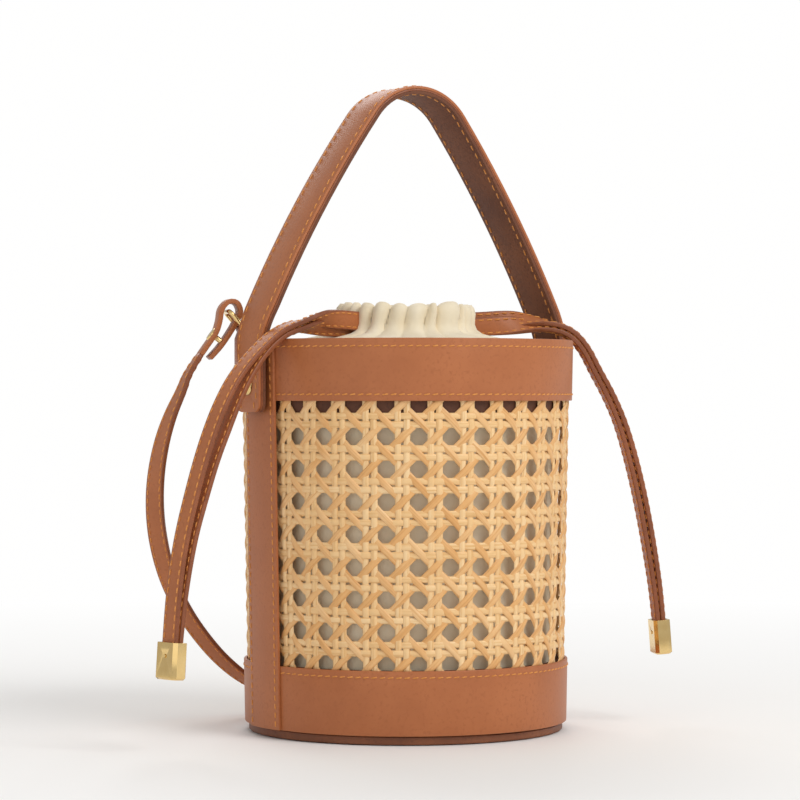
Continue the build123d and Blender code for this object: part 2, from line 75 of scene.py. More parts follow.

# %% [markdown]
# ## Helpers for the mesh work
#
# An operator acts on everything that is selected, so each step starts by deselecting all.
# A finished piece keeps its object at the origin and its place in its mesh. It also gets its
# material and its body from one helper, so that no piece is left without them.


# %% Select one object
def only(obj):
    """Select one object and make it active."""
    if bpy.context.object and bpy.context.object.mode != "OBJECT":
        bpy.ops.object.mode_set(mode="OBJECT")
    bpy.ops.object.select_all(action="DESELECT")
    obj.hide_viewport = False
    obj.select_set(True)
    bpy.context.view_layer.objects.active = obj


def mesh_piece(name, verts, faces):
    """Make an object from points and faces."""
    mesh = bpy.data.meshes.new(name)
    mesh.from_pydata(verts, [], faces)
    mesh.update()
    obj = bpy.data.objects.new(name, mesh)
    bpy.context.scene.collection.objects.link(obj)
    return obj


def outward(obj):
    """Merge doubles and turn all faces outwards."""
    only(obj)
    bpy.ops.object.mode_set(mode="EDIT")
    bpy.ops.mesh.select_all(action="SELECT")
    bpy.ops.mesh.remove_doubles(threshold=1e-6)
    bpy.ops.mesh.normals_make_consistent(inside=False)
    bpy.ops.object.mode_set(mode="OBJECT")


def smooth(obj, degrees=35):
    """Shade the gentle edges smooth and keep the sharp ones."""
    only(obj)
    bpy.ops.object.shade_smooth_by_angle(angle=math.radians(degrees))


def modify(obj, kind, **settings):
    """Add a modifier, set it and apply it."""
    only(obj)
    modifier = obj.modifiers.new(kind.lower(), kind)
    for key, value in settings.items():
        setattr(modifier, key, value)
    bpy.ops.object.modifier_apply(modifier=modifier.name)


def finish_piece(obj, material, body="bag", replaces=()):
    """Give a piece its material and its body."""
    obj.data.materials.clear()
    obj.data.materials.append(material)
    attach(obj, body)
    if replaces:
        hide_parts(*replaces)
    print(obj.name, len(obj.data.polygons), "faces")
    return obj


# %% [markdown]
# ## Materials
#
# Leather has a fine pebble grain, a slow change of tone, and a soft gloss. The grain is a cell
# pattern of about a millimetre, read from Object coordinates so that it stays on the piece. One
# function makes all the leathers, with a colour, a darker tone and a gloss for each.


# %% Material helpers
def srgb(red, green, blue):
    """Turn a colour as it is seen, 0 to 255, into the linear colour that a shader takes."""
    out = []
    for value in (red, green, blue):
        value /= 255
        out.append(value / 12.92 if value <= 0.04045 else ((value + 0.055) / 1.055) ** 2.4)
    return (*out, 1.0)


def new_material(name):
    """Start a material and return it with its nodes, its links and its main shader."""
    material = bpy.data.materials.new(name)
    material.use_nodes = True
    tree = material.node_tree
    return material, tree.nodes, tree.links, tree.nodes["Principled BSDF"]


def add(tree_nodes, kind, **settings):
    """Add a node and set its properties and inputs by name."""
    node = tree_nodes.new(kind)
    for key, value in settings.items():
        if key in node.inputs:
            node.inputs[key].default_value = value
        else:
            setattr(node, key, value)
    return node


def mix_colours(tree_nodes, links, factor, first, second):
    """Return the output of a mix from one colour to another by a factor socket."""
    mix = add(tree_nodes, "ShaderNodeMix", data_type="RGBA")
    links.new(factor, mix.inputs[0])
    for socket, value in ((mix.inputs[6], first), (mix.inputs[7], second)):
        if isinstance(value, tuple):
            socket.default_value = value
        else:
            links.new(value, socket)
    return mix.outputs[2]


def scaled(tree_nodes, links, value, low, high):
    """Spread the part of a 0 to 1 pattern between low and high over the whole range."""
    node = add(tree_nodes, "ShaderNodeMapRange")
    node.inputs[1].default_value = low
    node.inputs[2].default_value = high
    links.new(value, node.inputs[0])
    return node.outputs[0]


# %% Leather
def leather(name, light, dark, roughness, grain=900.0, depth=0.00012):
    material, tree, links, shader = new_material(name)
    place = add(tree, "ShaderNodeTexCoord").outputs["Object"]
    tone = add(tree, "ShaderNodeTexNoise", Scale=38.0, Detail=5.0, Roughness=0.6)
    fleck = add(tree, "ShaderNodeTexNoise", Scale=620.0, Detail=3.0)
    cells = add(tree, "ShaderNodeTexVoronoi", Scale=grain, feature="SMOOTH_F1")
    for node in (tone, fleck, cells):
        links.new(place, node.inputs["Vector"])
    slow = scaled(tree, links, tone.outputs["Fac"], 0.32, 0.68)
    base = mix_colours(tree, links, slow, dark, light)
    speck = scaled(tree, links, fleck.outputs["Fac"], 0.30, 0.46)
    darker = tuple(0.97 * v for v in dark[:3]) + (1.0,)
    links.new(mix_colours(tree, links, speck, darker, base), shader.inputs["Base Color"])
    rough = add(tree, "ShaderNodeMapRange")
    rough.inputs[3].default_value = roughness - 0.06
    rough.inputs[4].default_value = roughness + 0.08
    links.new(tone.outputs["Fac"], rough.inputs[0])
    links.new(rough.outputs[0], shader.inputs["Roughness"])
    height = add(tree, "ShaderNodeMath", operation="MULTIPLY_ADD")
    height.inputs[1].default_value = 0.5
    links.new(fleck.outputs["Fac"], height.inputs[0])
    links.new(cells.outputs["Distance"], height.inputs[2])
    bump = add(tree, "ShaderNodeBump", Strength=0.35, Distance=depth)
    links.new(height.outputs[0], bump.inputs["Height"])
    links.new(bump.outputs[0], shader.inputs["Normal"])
    shader.inputs["Specular IOR Level"].default_value = 0.42
    return material


tan = leather("tan_leather", srgb(180, 108, 63), srgb(168, 98, 55), 0.44)
tan_dark = leather("sole_leather", srgb(140, 84, 52), srgb(112, 64, 38), 0.5)
split = leather("split_leather", srgb(122, 74, 48), srgb(98, 56, 36), 0.72, 1500.0, 0.0002)
lining = leather("lining_leather", srgb(104, 62, 40), srgb(84, 48, 30), 0.66, 1300.0)
edge_paint = leather("edge_paint", srgb(150, 86, 52), srgb(126, 70, 42), 0.38, 1800.0, 0.00005)
print("leathers made")

# %% [markdown]
# Thread, cane, cotton and metal each show something else. Thread is two twisted plies. Cane is a
# split stem: long fibres run along each strand, and no two strands have the same tone, so each
# strand carries its tone in an attribute. The cotton is a plain weave, and the metal is plated.


# %% Thread
def thread_material():
    material, tree, links, shader = new_material("waxed_thread")
    place = add(tree, "ShaderNodeTexCoord").outputs["Object"]
    twist = add(tree, "ShaderNodeTexNoise", Scale=900.0, Detail=2.0)
    links.new(place, twist.inputs["Vector"])
    fac = scaled(tree, links, twist.outputs["Fac"], 0.3, 0.7)
    colour = mix_colours(tree, links, fac, srgb(200, 124, 52), srgb(226, 154, 76))
    links.new(colour, shader.inputs["Base Color"])
    bump = add(tree, "ShaderNodeBump", Strength=0.5, Distance=0.0001)
    links.new(twist.outputs["Fac"], bump.inputs["Height"])
    links.new(bump.outputs[0], shader.inputs["Normal"])
    shader.inputs["Roughness"].default_value = 0.55
    return material


# %% Cane
def cane_material(name, light, dark):
    material, tree, links, shader = new_material(name)
    tone = add(tree, "ShaderNodeAttribute", attribute_name="tone")
    along = add(tree, "ShaderNodeAttribute", attribute_name="along")
    place = add(tree, "ShaderNodeTexCoord").outputs["Object"]
    patch = add(tree, "ShaderNodeTexNoise", Scale=70.0, Detail=4.0)
    links.new(place, patch.inputs["Vector"])
    fibre = add(tree, "ShaderNodeTexNoise", Scale=1.0, Detail=3.0)
    links.new(along.outputs["Vector"], fibre.inputs["Vector"])
    both = add(tree, "ShaderNodeMath", operation="MULTIPLY_ADD")
    both.inputs[1].default_value = 0.9
    links.new(patch.outputs["Fac"], both.inputs[0])
    links.new(tone.outputs["Fac"], both.inputs[2])
    slow = scaled(tree, links, both.outputs[0], 0.35, 1.15)
    base = mix_colours(tree, links, slow, dark, light)
    streak = scaled(tree, links, fibre.outputs["Fac"], 0.32, 0.5)
    browner = tuple(v * k for v, k in zip(dark[:3], (0.86, 0.78, 0.66))) + (1.0,)
    links.new(mix_colours(tree, links, streak, browner, base), shader.inputs["Base Color"])
    bump = add(tree, "ShaderNodeBump", Strength=0.5, Distance=0.00016)
    links.new(fibre.outputs["Fac"], bump.inputs["Height"])
    links.new(bump.outputs[0], shader.inputs["Normal"])
    shader.inputs["Roughness"].default_value = 0.42
    shader.inputs["Specular IOR Level"].default_value = 0.5
    return material


# %% Cotton
def cotton_material():
    material, tree, links, shader = new_material("cream_cotton")
    uv = add(tree, "ShaderNodeUVMap", uv_map="cloth").outputs[0]
    warp = add(tree, "ShaderNodeTexWave", bands_direction="X", Scale=440.0, Distortion=0.5)
    weft = add(tree, "ShaderNodeTexWave", bands_direction="Y", Scale=440.0, Distortion=0.5)
    slub = add(tree, "ShaderNodeTexNoise", Scale=60.0, Detail=5.0)
    for node in (warp, weft, slub):
        links.new(uv, node.inputs["Vector"])
    weave = add(tree, "ShaderNodeMath", operation="MULTIPLY")
    links.new(warp.outputs["Fac"], weave.inputs[0])
    links.new(weft.outputs["Fac"], weave.inputs[1])
    fac = scaled(tree, links, slub.outputs["Fac"], 0.3, 0.7)
    base = mix_colours(tree, links, fac, srgb(232, 217, 186), srgb(242, 230, 204))
    links.new(base, shader.inputs["Base Color"])
    bump = add(tree, "ShaderNodeBump", Strength=0.3, Distance=0.0001)
    links.new(weave.outputs[0], bump.inputs["Height"])
    links.new(bump.outputs[0], shader.inputs["Normal"])
    shader.inputs["Roughness"].default_value = 0.85
    shader.inputs["Sheen Weight"].default_value = 0.2
    return material


# %% Plated metal and board
def metal_material():
    material, tree, links, shader = new_material("gold_plating")
    place = add(tree, "ShaderNodeTexCoord").outputs["Object"]
    haze = add(tree, "ShaderNodeTexNoise", Scale=260.0, Detail=4.0)
    links.new(place, haze.inputs["Vector"])
    rough = add(tree, "ShaderNodeMapRange")
    rough.inputs[3].default_value = 0.12
    rough.inputs[4].default_value = 0.24
    links.new(haze.outputs["Fac"], rough.inputs[0])
    links.new(rough.outputs[0], shader.inputs["Roughness"])
    tint = mix_colours(tree, links, haze.outputs["Fac"], srgb(226, 190, 122), srgb(240, 210, 150))
    links.new(tint, shader.inputs["Base Color"])
    shader.inputs["Metallic"].default_value = 1.0
    return material


def board_material():
    material, tree, links, shader = new_material("grey_board")
    place = add(tree, "ShaderNodeTexCoord").outputs["Object"]
    pulp = add(tree, "ShaderNodeTexNoise", Scale=300.0, Detail=6.0)
    links.new(place, pulp.inputs["Vector"])
    tint = mix_colours(tree, links, pulp.outputs["Fac"], srgb(150, 128, 98), srgb(176, 152, 120))
    links.new(tint, shader.inputs["Base Color"])
    shader.inputs["Roughness"].default_value = 0.9
    return material


thread = thread_material()
cane_straight = cane_material("cane_straight", srgb(250, 222, 176), srgb(236, 194, 136))
cane_slanted = cane_material("cane_slanted", srgb(247, 214, 164), srgb(226, 172, 108))
cotton = cotton_material()
gold = metal_material()
board = board_material()
print(len(bpy.data.materials), "materials")

# %% [markdown]
# ## Straps
#
# The drawstrings and the shoulder strap are cords: fixed lengths of something flexible. Each
# route is a smooth line with a few control points, those of the CAD model, but the tails start
# deeper, inside the cloth. A flat
# strap can't be a bevelled curve that turns freely, so its section is carried along the line by
# hand, and its width turns slowly from one direction to another.
#
# Strap leather is cut with square corners that are then rubbed round, so the section is a
# rectangle with small rounds. Faces, edges and thread are three materials of one mesh.

# %% The line of a route
STRAP_THICKNESS = 2.3 * MM


def smooth_line(points, resolution=10):
    """Return the points of the smooth line that a route's control points describe."""
    curve = bpy.data.curves.new("route", "CURVE")
    curve.dimensions = "3D"
    curve.resolution_u = resolution
    spline = curve.splines.new("NURBS")
    spline.points.add(len(points) - 1)
    for control, point in zip(spline.points, points):
        control.co = (*point, 1.0)
    spline.order_u = 3
    spline.use_endpoint_u = True
    spline.resolution_u = resolution
    holder = bpy.data.objects.new("route", curve)
    bpy.context.scene.collection.objects.link(holder)
    mesh = bpy.data.meshes.new_from_object(holder)
    line = [v.co.copy() for v in mesh.vertices]
    bpy.data.objects.remove(holder)
    return line


def distances(line):
    """Return how far along the line each of its points is."""
    out = [0.0]
    for before, after in zip(line, line[1:]):
        out.append(out[-1] + (after - before).length)
    return out


# %% The section of a strap
FACE_SIDES = (3, 11)  # the sides of the outline that are the two flat faces


def strap_section(width, thickness, corner=0.55 * MM, steps=3):
    """Return the outline of a strap's cut, across and up, as a list of points."""
    outline = []
    for across, up, start in ((1, 1, 0), (-1, 1, 90), (-1, -1, 180), (1, -1, 270)):
        for step in range(steps + 1):
            turn = math.radians(start + 90 * step / steps)
            outline.append((
                across * (width / 2 - corner) + corner * math.cos(turn),
                up * (thickness / 2 - corner) + corner * math.sin(turn),
            ))
    return outline


def strap_frames(line, across_at):
    """Return each point of a line with its direction, its across and its up."""
    along = distances(line)
    frames = []
    for i, point in enumerate(line):
        direction = (line[min(i + 1, len(line) - 1)] - line[max(i - 1, 0)]).normalized()
        across = Vector(across_at(along[i] / along[-1], along[i], direction))
        across = (across - direction * across.dot(direction)).normalized()
        frames.append((point, direction, across, across.cross(direction).normalized()))
    return frames, along


# %% A stitch is a small bead of thread
def add_stitch(verts, faces, centre, direction, up, length=3.0 * MM, radius=0.34 * MM):
    """Add one stitch, a bead of six sides that dips into the leather at its ends."""
    side = direction.cross(up).normalized()
    first = len(verts)
    rings = ((-0.5, 0.35, -0.45), (-0.32, 1.0, 0.1), (0.32, 1.0, 0.1), (0.5, 0.35, -0.45))
    for share, size, lift in rings:
        middle = centre + direction * (share * length) + up * (lift * radius)
        for k in range(6):
            turn = math.radians(60 * k)
            verts.append(middle + (side * math.cos(turn) + up * math.sin(turn)) * radius * size)
    for ring in range(3):
        for k in range(6):
            a = first + ring * 6 + k
            b = first + ring * 6 + (k + 1) % 6
            faces.append((a, b, b + 6, a + 6))
    faces.append(tuple(first + k for k in range(5, -1, -1)))
    faces.append(tuple(first + 18 + k for k in range(6)))


# %% A strap with its stitches
STITCH_MARGIN = 3 * MM  # of the strap at each end, without stitches


def flat_strap(name, line, width, across_at, rows, spacing=4.0 * MM):
    """Make a flat strap along a line, with rows of stitches at these distances from its middle."""
    frames, along = strap_frames(line, across_at)
    outline = strap_section(width, STRAP_THICKNESS)
    count = len(outline)
    verts = []
    faces = []
    for point, direction, across, up in frames:
        verts += [point + across * a + up * u for a, u in outline]
    for i in range(len(frames) - 1):
        for k in range(count):
            a = i * count + k
            b = i * count + (k + 1) % count
            faces.append((a, b, b + count, a + count))
    faces.append(tuple(range(count - 1, -1, -1)))
    faces.append(tuple(len(verts) - count + k for k in range(count)))
    leather_faces = len(faces)
    total = along[-1]
    place = STITCH_MARGIN
    while place < total - STITCH_MARGIN:
        i = max(k for k in range(len(along)) if along[k] <= place)
        j = min(i + 1, len(along) - 1)
        share = (place - along[i]) / max(along[j] - along[i], 1e-9)
        point = frames[i][0].lerp(frames[j][0], share)
        direction, across, up = frames[i][1], frames[i][2], frames[i][3]
        for row in rows:
            for face_side in (1, -1):
                centre = point + across * row + up * (face_side * STRAP_THICKNESS / 2)
                add_stitch(verts, faces, centre, direction, up * face_side, spacing * 0.72)
        place += spacing
    obj = mesh_piece(name, verts, faces)
    for material in (tan, edge_paint, thread):
        obj.data.materials.append(material)
    for polygon in obj.data.polygons:
        polygon.use_smooth = True
        if polygon.index >= leather_faces:
            polygon.material_index = 2
        elif polygon.index % count not in FACE_SIDES:
            polygon.material_index = 1
    outward(obj)
    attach(obj, "bag")
    print(name, len(obj.data.polygons), "faces, line", round(total, 4), "m")
    return obj, total

# %% [markdown]
# ## The drawstrings' tails
#
# Two straps leave the gathered neck on each side, lie over the rim, and hang to a metal cap that
# holds them both. Each stands upright where it leaves the casing and turns flat on the rim, so
# its width turns by a right angle over the first few centimetres. There the two straps lie side
# by side, and they part again where they hang, because one is a little longer.
#
# The routes are given as distance from the bag's axis, and height, at one angle round the bag.

# %% Tail routes
tail_routes = {
    "drawstring_left_outer": (193.5, 1, [
        (29.5, 193.4), (47.0, 194.6), (60.0, 194.4), (73.0, 192.2), (84.6, 187.9), (97.0, 179.0),
        (109.0, 168.0), (117.5, 155.8), (123.9, 143.6), (129.9, 129.4), (135.5, 113.3),
        (140.8, 96.5), (144.5, 79.0), (147.0, 60.0), (148.4, 41.0),
    ]),
    "drawstring_left_inner": (193.5, -1, [
        (29.5, 190.1), (47.0, 190.9), (59.5, 190.8), (71.5, 189.5), (82.2, 186.4), (92.8, 178.8),
        (102.0, 168.4), (109.7, 156.3), (116.1, 143.6), (123.1, 129.9), (129.5, 113.6),
        (135.7, 97.1), (140.2, 79.3), (143.7, 60.3), (145.9, 41.2),
    ]),
    "drawstring_right_outer": (-22.0, 1, [
        (29.5, 194.0), (46.5, 195.2), (58.0, 195.3), (69.5, 193.9), (80.8, 190.9), (88.7, 182.4),
        (94.2, 171.4), (100.6, 160.4), (106.8, 146.8), (111.6, 131.5), (115.8, 115.0),
        (119.4, 97.5), (122.5, 79.2), (125.1, 60.4), (126.5, 42.0),
    ]),
    "drawstring_right_inner": (-22.0, -1, [
        (29.5, 191.3), (46.5, 192.4), (58.0, 192.5), (69.0, 191.2), (79.6, 188.2), (86.5, 180.9),
        (91.8, 170.2), (98.0, 159.2), (104.0, 145.9), (108.6, 130.4), (112.7, 114.0),
        (116.2, 96.9), (119.4, 79.0), (122.3, 60.8), (124.0, 42.2),
    ]),
}


def tail_points(angle, aside, route):
    """Return a tail's control points, its first three moved aside to lie beside its partner."""
    turn = math.radians(angle)
    outwards = Vector((math.cos(turn), math.sin(turn), 0))
    sideways = Vector((-math.sin(turn), math.cos(turn), 0))
    shifts = [1.7, 1.7, 1.2] + [0.0] * (len(route) - 3)
    points = []
    for (distance, height), shift in zip(route, shifts):
        point = outwards * distance + Vector((0, 0, height)) + sideways * (aside * shift)
        points.append(point * MM)
    return points, sideways


# %% Make the four tails
TAIL_WIDTH = 9.0 * MM
TURN_START = 10 * MM
TURN_END = 46 * MM
tails = {}
for name, (angle, aside, route) in tail_routes.items():
    points, sideways = tail_points(angle, aside, route)
    line = smooth_line(points)

    def across_at(share, along, direction, sideways=sideways):
        """Turn the width from upright at the neck to level on the rim."""
        part = min(max((along - TURN_START) / (TURN_END - TURN_START), 0.0), 1.0)
        part = part * part * (3 - 2 * part)
        turn = math.radians(90) * (1 - part)
        return sideways * math.cos(turn) + direction.cross(sideways) * math.sin(turn)

    piece, length = flat_strap(
        name.replace("drawstring", "tail"), line, TAIL_WIDTH, across_at, (-3.1 * MM, 3.1 * MM)
    )
    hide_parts(name)
    tails[name] = (piece, length, line)

# %% [markdown]
# ## The shoulder strap
#
# The long strap is one piece of leather. At each end it passes through a ring and is folded back
# and studded into an eye. Between its eyes it hangs down behind the bag and lies on the ground in
# one wide bend, standing on its edge, because a flat strap bends easily only across its
# thickness.

# %% Shoulder strap route
strap_route = [
    (-0.0947, 0.0308, 0.1780), (-0.1002, 0.0326, 0.1698), (-0.1017, 0.0359, 0.1614),
    (-0.1049, 0.0426, 0.1486), (-0.1062, 0.0498, 0.1338), (-0.1052, 0.0574, 0.1166),
    (-0.1015, 0.0645, 0.0995), (-0.0952, 0.0712, 0.0827), (-0.0867, 0.0778, 0.0672),
    (-0.0763, 0.0831, 0.0528), (-0.0646, 0.0865, 0.0394), (-0.0511, 0.0888, 0.0263),
    (-0.0328, 0.0881, 0.0130), (-0.0158, 0.0929, 0.0062), (0.0013, 0.1036, 0.0048),
    (0.0171, 0.1197, 0.0048), (0.0314, 0.1403, 0.0048), (0.0441, 0.1629, 0.0048),
    (0.0560, 0.1862, 0.0048), (0.0729, 0.2051, 0.0048), (0.0982, 0.2119, 0.0048),
    (0.1245, 0.2052, 0.0048), (0.1436, 0.1865, 0.0048), (0.1490, 0.1609, 0.0048),
    (0.1411, 0.1364, 0.0048), (0.1266, 0.1148, 0.0048), (0.1126, 0.0928, 0.0048),
    (0.1017, 0.0702, 0.0048), (0.0950, 0.0497, 0.0065), (0.0917, 0.0329, 0.0140),
    (0.0903, 0.0221, 0.0290), (0.0895, 0.0179, 0.0490), (0.0881, 0.0175, 0.0720),
    (0.0861, 0.0199, 0.0960), (0.0842, 0.0235, 0.1190), (0.0846, 0.0275, 0.1382),
    (0.0844, 0.0274, 0.1530),
]


def strap_across(share, along, direction):
    """Return the width's direction: level round the bag at the eyes, upright on the ground."""
    keys = (
        (0.00, Vector((0.309, 0.951, 0))),
        (0.06, Vector((-0.15, 0.96, 0))),
        (0.13, Vector((-0.62, 0.75, 0.05))),
        (0.25, Vector((-0.62, 0.72, 0.1))),
        (0.34, Vector((-0.3, 0.45, 0.7))),
        (0.42, Vector((0, 0, 1))),
        (0.80, Vector((0, 0, 1))),
        (0.87, Vector((0.1, 0.85, 0.5))),
        (0.92, Vector((-0.309, 0.951, 0))),
        (1.00, Vector((-0.309, 0.951, 0))),
    )
    for (low, first), (high, second) in zip(keys, keys[1:]):
        if share <= high:
            return first.lerp(second, (share - low) / (high - low))
    return keys[-1][1]


SHOULDER_WIDTH = 9.5 * MM
line = smooth_line(strap_route)
shoulder_strap, strap_length = flat_strap(
    "long_strap", line, SHOULDER_WIDTH, strap_across, (-3.4 * MM, 3.4 * MM), 4.2 * MM
)
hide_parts("shoulder_strap")

# %% [markdown]
# ## The wall's shape
#
# The wall widens slightly upwards. Every layer of it is a distance from the outside of the cane,
# so one function gives the radius at a height, and each layer adds its own distance.

# %% The wall
WALL_FOOT = 75.4
WALL_SLOPE = 0.018
BAND_OUTER = 1.35
STRIP_INNER = 1.4
STRIP_OUTER = 2.6
SOLE_TOP = 4.0
RIM = 185.0
LOWER_TOP = 33.7
UPPER_BOTTOM = 156.3
STRIP_HALF = 13.5


def wall(height):
    """Return the radius of the cane's outside at a height, in millimetres."""
    return WALL_FOOT + WALL_SLOPE * height


def turned(name, profile, start=0.0, sweep=360.0, steps=240):
    """Spin a closed profile of (radius, height) in millimetres about the bag's axis."""
    turn = math.radians(start)
    verts = [
        (r * math.cos(turn) * MM, r * math.sin(turn) * MM, z * MM) for r, z in profile
    ]
    obj = mesh_piece(name, verts, [tuple(range(len(verts)))])
    only(obj)
    bpy.ops.object.mode_set(mode="EDIT")
    bpy.ops.mesh.select_all(action="SELECT")
    full = sweep >= 360
    if full:
        bpy.ops.mesh.delete(type="ONLY_FACE")
        bpy.ops.mesh.select_all(action="SELECT")
    bpy.ops.mesh.spin(
        steps=steps, angle=-math.radians(sweep), center=(0, 0, 0), axis=(0, 0, 1),
        dupli=False, use_normal_flip=False,
    )
    bpy.ops.object.mode_set(mode="OBJECT")
    outward(obj)
    return obj


def layer_profile(inner, outer, bottom, top, round_by=0.45):
    """Return the section of a leather layer with its outside corners rubbed round."""
    points = [(wall(bottom) + inner, bottom), (wall(bottom) + outer - round_by, bottom)]
    for step in (1, 2, 3):
        turn = math.radians(30 * step)
        out = outer - round_by + round_by * math.sin(turn)
        points.append((wall(bottom) + out, bottom + round_by * (1 - math.cos(turn))))
    for step in (0, 1, 2, 3):
        turn = math.radians(30 * step)
        out = outer - round_by + round_by * math.cos(turn)
        points.append((wall(top) + out, top - round_by * (1 - math.sin(turn))))
    points.append((wall(top) + inner, top))
    return points


# %% [markdown]
# ## Leather bands
#
# Each band is a strip of leather wrapped round the cane and sewn through it. Its cut edges are
# rubbed round. A profile is spun about the axis, which gives a smooth ring with that round edge.

# %% Make the bands
for name, bottom, top in (
    ("lower_band", SOLE_TOP, LOWER_TOP), ("upper_band", UPPER_BOTTOM, RIM),
):
    ring = turned(name + "_leather", layer_profile(0.05, BAND_OUTER, bottom, top))
    smooth(ring)
    finish_piece(ring, tan, replaces=[name])

# %% [markdown]
# ## Side strips
#
# A strip of leather covers each seam of the cane, from the sole to the rim. It is spun through a
# short angle and its two long edges are cut straight by bisecting, as with a knife and ruler.

# %% Make the side strips
for side, start in (("left", 180.0 - 12.0), ("right", -12.0)):
    strip = turned(
        f"side_strip_{side}_leather", layer_profile(STRIP_INNER, STRIP_OUTER, SOLE_TOP, RIM),
        start, 24.0, 24,
    )
    for sign in (1, -1):
        only(strip)
        bpy.ops.object.mode_set(mode="EDIT")
        bpy.ops.mesh.select_all(action="SELECT")
        bpy.ops.mesh.bisect(
            plane_co=(0, sign * STRIP_HALF * MM, 0), plane_no=(0, sign, 0),
            use_fill=True, clear_outer=True,
        )
        bpy.ops.object.mode_set(mode="OBJECT")
    outward(strip)
    modify(strip, "BEVEL", width=0.35 * MM, segments=2, limit_method="ANGLE",
           angle_limit=math.radians(50))
    smooth(strip)
    finish_piece(strip, tan, replaces=[f"side_strip_{side}"])

# %% [markdown]
# ## Stitches
#
# Saddle stitches are short slanted beads that dip into the leather between two holes. Each is a
# bead of 20 faces, so that a few thousand of them stay light. One helper takes the places and
# makes one piece of them.

# %% Stitch helper
def stitch_piece(name, places, body, length=2.9 * MM, radius=0.34 * MM):
    """Make one piece of all the stitches at these places, (centre, direction, up)."""
    verts = []
    faces = []
    for centre, direction, up in places:
        add_stitch(verts, faces, centre, direction, up, length, radius)
    obj = mesh_piece(name, verts, faces)
    for polygon in obj.data.polygons:
        polygon.use_smooth = True
    return finish_piece(obj, thread, body)


def ring_stitches(height, offset, spacing=3.8, slant=0.16):
    """Return the places of a row of stitches round the wall, but not under the side strips."""
    radius = wall(height) + offset
    count = round(2 * math.pi * radius / spacing)
    places = []
    for k in range(count):
        turn = 2 * math.pi * k / count
        out = Vector((math.cos(turn), math.sin(turn), 0))
        if abs(out.y * radius) < STRIP_HALF + 1.5:
            continue
        direction = Vector((-out.y, out.x, slant)).normalized()
        places.append(((out * radius + Vector((0, 0, height))) * MM, direction, out))
    return places


# %% Stitches of the bands and the strips
stitch_piece("lower_band_thread", ring_stitches(LOWER_TOP - 3.0, BAND_OUTER), "bag")
stitch_piece(
    "upper_band_thread",
    ring_stitches(RIM - 3.7, BAND_OUTER) + ring_stitches(UPPER_BOTTOM + 3.0, BAND_OUTER), "bag",
)
strip_places = []
for side in (-1, 1):
    for row in (-11.0, 11.0):
        height = SOLE_TOP + 3.0
        while height < RIM - 2.0:
            radius = wall(height) + STRIP_OUTER
            out = Vector((side * math.sqrt(radius**2 - row**2), row, 0)) / radius
            centre = (out * radius + Vector((0, 0, height))) * MM
            strip_places.append((centre, Vector((0, 0.12, 1)).normalized(), out))
            height += 4.0
stitch_piece("side_strip_thread", strip_places, "bag")

# %% [markdown]
# ## Cane webbing
#
# Open cane webbing has six sets of strands. Pairs run up and pairs run round, and two sets run
# aslant and leave an eight-sided hole in each mesh. The strands of a pair pass over and under in
# turn. The slanted ones pass over one of the straight sets and under the other, and that locks
# the mesh. A texture on a drum would lose its depth at the outline and in the holes, so each
# strand is made: a domed ribbon that follows the weave's own rule for how far out it lies.
#
# On the lattice, u counts meshes round the wall and v counts them upwards. Whole numbers are the
# middles of the pairs, and the holes are at the halves.

# %% The weave's lattice
MESH_ROUND = 32
MESH_PITCH = 14.87
MESH_TURN = 360.0 / MESH_ROUND
FIRST_HOLE_HEIGHT = 36.0
PAIR_OFFSET = 0.13
STRAIGHT_LIFT = 0.42
SLANTED_LIFT = 0.66
CANE_MIDDLE = -1.05
CANE_BOTTOM = 30.2
CANE_TOP = 160.0
STEPS_PER_MESH = 10
weave_random = random.Random(7)


def cane_point(u, v, lift):
    """Return the place on the wall for a place on the lattice, in metres, and the way out."""
    turn = math.radians(180 + MESH_TURN * (u + 0.1))
    height = FIRST_HOLE_HEIGHT + MESH_PITCH * (v - 0.5)
    radius = wall(height) + CANE_MIDDLE + lift
    out = Vector((math.cos(turn), math.sin(turn), 0))
    return (out * radius + Vector((0, 0, height))) * MM, out


def pair_wave(t):
    """Return how far out a strand of a pair lies, near the pair that it crosses."""
    near = (t - round(t)) / PAIR_OFFSET
    return near * math.exp((1 - near * near) / 2)


RIBBON = (
    (-1.0, -0.28), (-0.92, 0.06), (-0.5, 0.32), (0.0, 0.4), (0.5, 0.32), (0.92, 0.06), (1.0, -0.28),
)


def add_strand(store, track, half_width, closed=False):
    """Add one strand along a track of (u, v, lift)."""
    verts, faces, tone, along = store
    points = [cane_point(*place) for place in track]
    first = len(verts)
    own_tone = weave_random.uniform(-0.18, 0.22)
    own_place = weave_random.uniform(0, 50)
    travelled = 0.0
    count = len(points)
    for i, (point, out) in enumerate(points):
        before = points[(i - 1) % count if closed else max(i - 1, 0)][0]
        after = points[(i + 1) % count if closed else min(i + 1, count - 1)][0]
        direction = (after - before).normalized()
        across = direction.cross(out).normalized()
        up = across.cross(direction).normalized()
        if i:
            travelled += (point - points[i - 1][0]).length
        for a, b in RIBBON:
            verts.append(point + across * (a * half_width * MM) + up * (b * MM))
            tone.append(own_tone)
            along.append((a * half_width * 0.9 + own_place, travelled * 22, own_place))
    sides = len(RIBBON)
    for i in range(count if closed else count - 1):
        for k in range(sides):
            a = first + i * sides + k
            b = first + i * sides + (k + 1) % sides
            c = first + ((i + 1) % count) * sides + (k + 1) % sides
            d = first + ((i + 1) % count) * sides + k
            faces.append((a, b, c, d))
    if not closed:
        faces.append(tuple(first + k for k in range(sides - 1, -1, -1)))
        faces.append(tuple(first + (count - 1) * sides + k for k in range(sides)))


